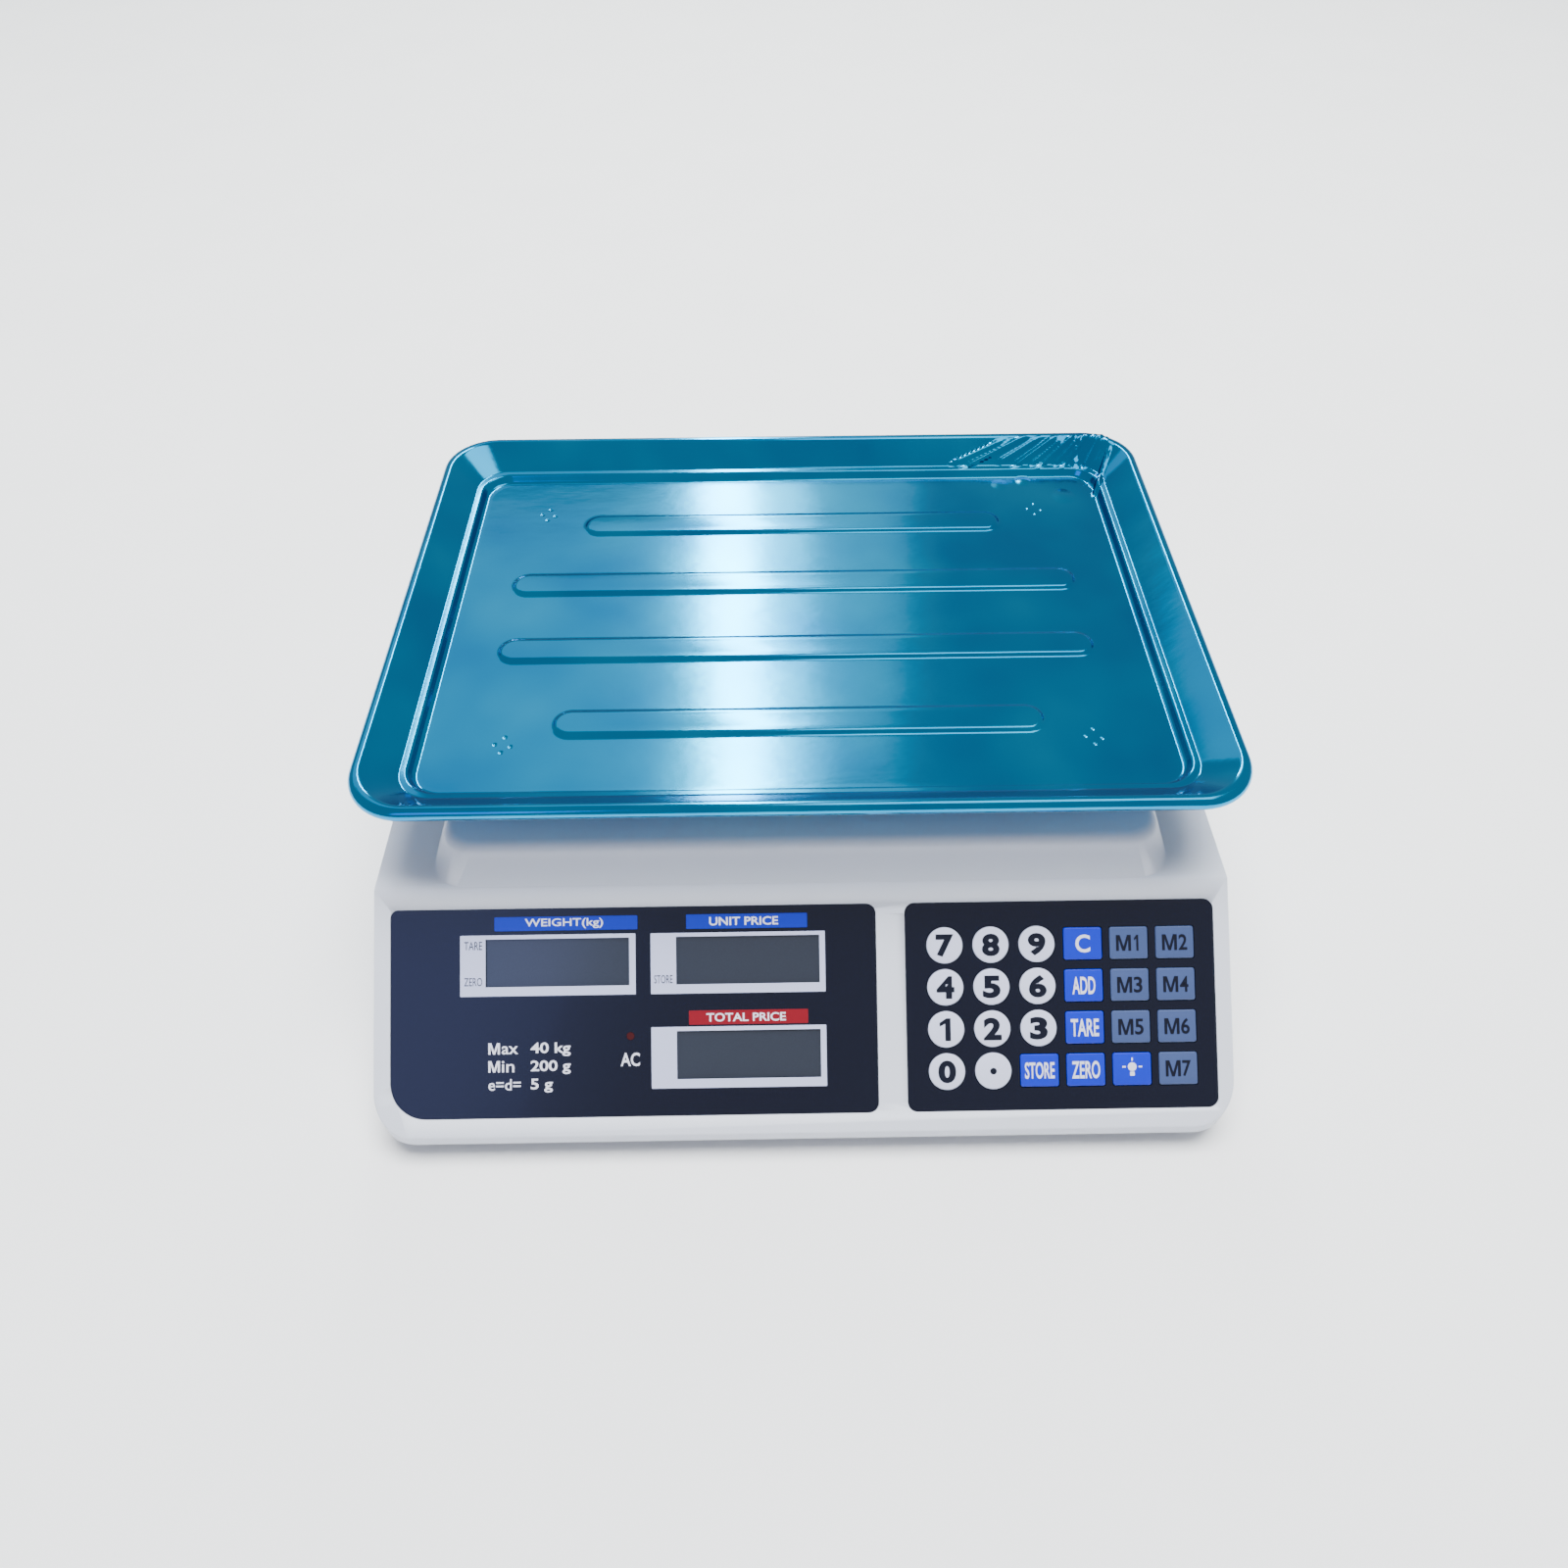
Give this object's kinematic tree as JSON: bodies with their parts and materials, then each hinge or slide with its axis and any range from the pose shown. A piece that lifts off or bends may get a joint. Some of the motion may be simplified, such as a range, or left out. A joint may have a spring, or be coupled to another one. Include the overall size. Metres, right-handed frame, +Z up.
{
  "type": "retail price scale",
  "caption": "Bench price-computing scale: lift-off pressed pan on a load cell, sloping front with displays and a keypad, rear displays, levelling feet.",
  "frame": {"origin": "on the table under the middle of the scale's footprint", "axes": "+X to the right as the operator faces the keypad, -Y towards the operator, +Z up"},
  "size_m": [0.34, 0.32, 0.116],
  "materials": {
    "housing_white": "moulded ABS, satin gloss",
    "base_grey": "moulded ABS, fine texture",
    "film_black": "printed polycarbonate film, glossy",
    "lcd_glass": "reflective liquid crystal panel behind glass",
    "circuit_board": "glass-epoxy board with green mask",
    "dome_steel": "thin spring steel",
    "zinc_steel": "zinc plated",
    "plate_steel": "grey paint on steel",
    "aluminium_alloy": "machined and cast",
    "lamp_red": "tinted lens",
    "battery_case": "sealed case",
    "transformer_iron": "varnished laminations",
    "black_plastic": "moulded nylon",
    "rocker_red": "moulded, glossy",
    "vial_green": "clear acrylic with green liquid",
    "wire_insulation": "extruded sleeve",
    "rubber_black": "moulded, matt",
    "key_white": "printed cap under a clear film",
    "key_blue": "printed cap under a clear film",
    "key_slate": "printed cap under a clear film",
    "pan_steel": "bright stainless steel under a clear blue protective film"
  },
  "bodies": {
    "housing": {"upper_housing": "housing_white", "lower_housing": "base_grey", "case_screws": "zinc_steel", "display_film": "film_black", "keypad_film": "film_black", "keypad_board": "circuit_board", "key_domes": "dome_steel", "front_lcds": "lcd_glass", "display_board": "circuit_board", "charge_lamp": "lamp_red", "rear_film": "film_black", "rear_lcds": "lcd_glass", "rear_board": "circuit_board", "main_board": "circuit_board", "load_cell": "aluminium_alloy", "cell_plate": "plate_steel", "cell_bolts": "zinc_steel", "overload_stops": "zinc_steel", "battery": "battery_case", "transformer": "transformer_iron", "mains_inlet": "black_plastic", "switch_body": "black_plastic", "level_vial": "vial_green", "wiring": "wire_insulation"},
    "platform": {"spider": "aluminium_alloy", "support_pads": "rubber_black", "spider_bolts": "zinc_steel"},
    "pan": {"pan": "pan_steel", "pan_cups": "pan_steel"},
    "switch_rocker": {"switch_rocker": "rocker_red"},
    "battery_door": {"battery_door": "base_grey"},
    "foot_front_left": {"foot_front_left": "rubber_black"},
    "foot_front_right": {"foot_front_right": "rubber_black"},
    "foot_rear_left": {"foot_rear_left": "rubber_black"},
    "foot_rear_right": {"foot_rear_right": "rubber_black"},
    "key_0": {"key_0": "key_white"},
    "key_point": {"key_point": "key_white"},
    "key_store": {"key_store": "key_blue"},
    "key_zero": {"key_zero": "key_blue"},
    "key_light": {"key_light": "key_blue"},
    "key_m7": {"key_m7": "key_slate"},
    "key_1": {"key_1": "key_white"},
    "key_2": {"key_2": "key_white"},
    "key_3": {"key_3": "key_white"},
    "key_tare": {"key_tare": "key_blue"},
    "key_m5": {"key_m5": "key_slate"},
    "key_m6": {"key_m6": "key_slate"},
    "key_4": {"key_4": "key_white"},
    "key_5": {"key_5": "key_white"},
    "key_6": {"key_6": "key_white"},
    "key_add": {"key_add": "key_blue"},
    "key_m3": {"key_m3": "key_slate"},
    "key_m4": {"key_m4": "key_slate"},
    "key_7": {"key_7": "key_white"},
    "key_8": {"key_8": "key_white"},
    "key_9": {"key_9": "key_white"},
    "key_clear": {"key_clear": "key_blue"},
    "key_m1": {"key_m1": "key_slate"},
    "key_m2": {"key_m2": "key_slate"}
  },
  "joints": [
    {"name": "load_deflection", "type": "slide", "parent": "housing", "child": "platform", "axis": [0, 0, 1], "range_m": [-0.0006, 0], "stiffness_N_per_m": 650000, "deforming": ["load_cell"]},
    {"name": "pan_lift", "type": "slide", "parent": "platform", "child": "pan", "axis": [0, 0, 1], "range_m": [0, 0.15]},
    {"name": "power_switch", "type": "hinge", "parent": "housing", "child": "switch_rocker", "pos_m": [0.1635, 0.032, 0.032], "axis": [0, 0, 1], "range_deg": [0, 14]},
    {"name": "battery_door_hinge", "type": "hinge", "parent": "housing", "child": "battery_door", "pos_m": [0.1185, -0.0122, 0.006], "axis": [-1, 0, 0], "range_deg": [0, 95]},
    {"name": "foot_front_left_screw", "type": "slide", "parent": "housing", "child": "foot_front_left", "axis": [0, 0, 1], "range_m": [-0.006, 0.001]},
    {"name": "foot_front_right_screw", "type": "slide", "parent": "housing", "child": "foot_front_right", "axis": [0, 0, 1], "range_m": [-0.006, 0.001]},
    {"name": "foot_rear_left_screw", "type": "slide", "parent": "housing", "child": "foot_rear_left", "axis": [0, 0, 1], "range_m": [-0.006, 0.001]},
    {"name": "foot_rear_right_screw", "type": "slide", "parent": "housing", "child": "foot_rear_right", "axis": [0, 0, 1], "range_m": [-0.006, 0.001]},
    {"name": "key_0_press", "type": "slide", "parent": "housing", "child": "key_0", "axis": [0, 0.5992, -0.8006], "range_m": [0, 0.0005], "stiffness_N_per_m": 4000},
    {"name": "key_point_press", "type": "slide", "parent": "housing", "child": "key_point", "axis": [0, 0.5992, -0.8006], "range_m": [0, 0.0005], "stiffness_N_per_m": 4000},
    {"name": "key_store_press", "type": "slide", "parent": "housing", "child": "key_store", "axis": [0, 0.5992, -0.8006], "range_m": [0, 0.0005], "stiffness_N_per_m": 4000},
    {"name": "key_zero_press", "type": "slide", "parent": "housing", "child": "key_zero", "axis": [0, 0.5992, -0.8006], "range_m": [0, 0.0005], "stiffness_N_per_m": 4000},
    {"name": "key_light_press", "type": "slide", "parent": "housing", "child": "key_light", "axis": [0, 0.5992, -0.8006], "range_m": [0, 0.0005], "stiffness_N_per_m": 4000},
    {"name": "key_m7_press", "type": "slide", "parent": "housing", "child": "key_m7", "axis": [0, 0.5992, -0.8006], "range_m": [0, 0.0005], "stiffness_N_per_m": 4000},
    {"name": "key_1_press", "type": "slide", "parent": "housing", "child": "key_1", "axis": [0, 0.5992, -0.8006], "range_m": [0, 0.0005], "stiffness_N_per_m": 4000},
    {"name": "key_2_press", "type": "slide", "parent": "housing", "child": "key_2", "axis": [0, 0.5992, -0.8006], "range_m": [0, 0.0005], "stiffness_N_per_m": 4000},
    {"name": "key_3_press", "type": "slide", "parent": "housing", "child": "key_3", "axis": [0, 0.5992, -0.8006], "range_m": [0, 0.0005], "stiffness_N_per_m": 4000},
    {"name": "key_tare_press", "type": "slide", "parent": "housing", "child": "key_tare", "axis": [0, 0.5992, -0.8006], "range_m": [0, 0.0005], "stiffness_N_per_m": 4000},
    {"name": "key_m5_press", "type": "slide", "parent": "housing", "child": "key_m5", "axis": [0, 0.5992, -0.8006], "range_m": [0, 0.0005], "stiffness_N_per_m": 4000},
    {"name": "key_m6_press", "type": "slide", "parent": "housing", "child": "key_m6", "axis": [0, 0.5992, -0.8006], "range_m": [0, 0.0005], "stiffness_N_per_m": 4000},
    {"name": "key_4_press", "type": "slide", "parent": "housing", "child": "key_4", "axis": [0, 0.5992, -0.8006], "range_m": [0, 0.0005], "stiffness_N_per_m": 4000},
    {"name": "key_5_press", "type": "slide", "parent": "housing", "child": "key_5", "axis": [0, 0.5992, -0.8006], "range_m": [0, 0.0005], "stiffness_N_per_m": 4000},
    {"name": "key_6_press", "type": "slide", "parent": "housing", "child": "key_6", "axis": [0, 0.5992, -0.8006], "range_m": [0, 0.0005], "stiffness_N_per_m": 4000},
    {"name": "key_add_press", "type": "slide", "parent": "housing", "child": "key_add", "axis": [0, 0.5992, -0.8006], "range_m": [0, 0.0005], "stiffness_N_per_m": 4000},
    {"name": "key_m3_press", "type": "slide", "parent": "housing", "child": "key_m3", "axis": [0, 0.5992, -0.8006], "range_m": [0, 0.0005], "stiffness_N_per_m": 4000},
    {"name": "key_m4_press", "type": "slide", "parent": "housing", "child": "key_m4", "axis": [0, 0.5992, -0.8006], "range_m": [0, 0.0005], "stiffness_N_per_m": 4000},
    {"name": "key_7_press", "type": "slide", "parent": "housing", "child": "key_7", "axis": [0, 0.5992, -0.8006], "range_m": [0, 0.0005], "stiffness_N_per_m": 4000},
    {"name": "key_8_press", "type": "slide", "parent": "housing", "child": "key_8", "axis": [0, 0.5992, -0.8006], "range_m": [0, 0.0005], "stiffness_N_per_m": 4000},
    {"name": "key_9_press", "type": "slide", "parent": "housing", "child": "key_9", "axis": [0, 0.5992, -0.8006], "range_m": [0, 0.0005], "stiffness_N_per_m": 4000},
    {"name": "key_clear_press", "type": "slide", "parent": "housing", "child": "key_clear", "axis": [0, 0.5992, -0.8006], "range_m": [0, 0.0005], "stiffness_N_per_m": 4000},
    {"name": "key_m1_press", "type": "slide", "parent": "housing", "child": "key_m1", "axis": [0, 0.5992, -0.8006], "range_m": [0, 0.0005], "stiffness_N_per_m": 4000},
    {"name": "key_m2_press", "type": "slide", "parent": "housing", "child": "key_m2", "axis": [0, 0.5992, -0.8006], "range_m": [0, 0.0005], "stiffness_N_per_m": 4000}
  ]
}
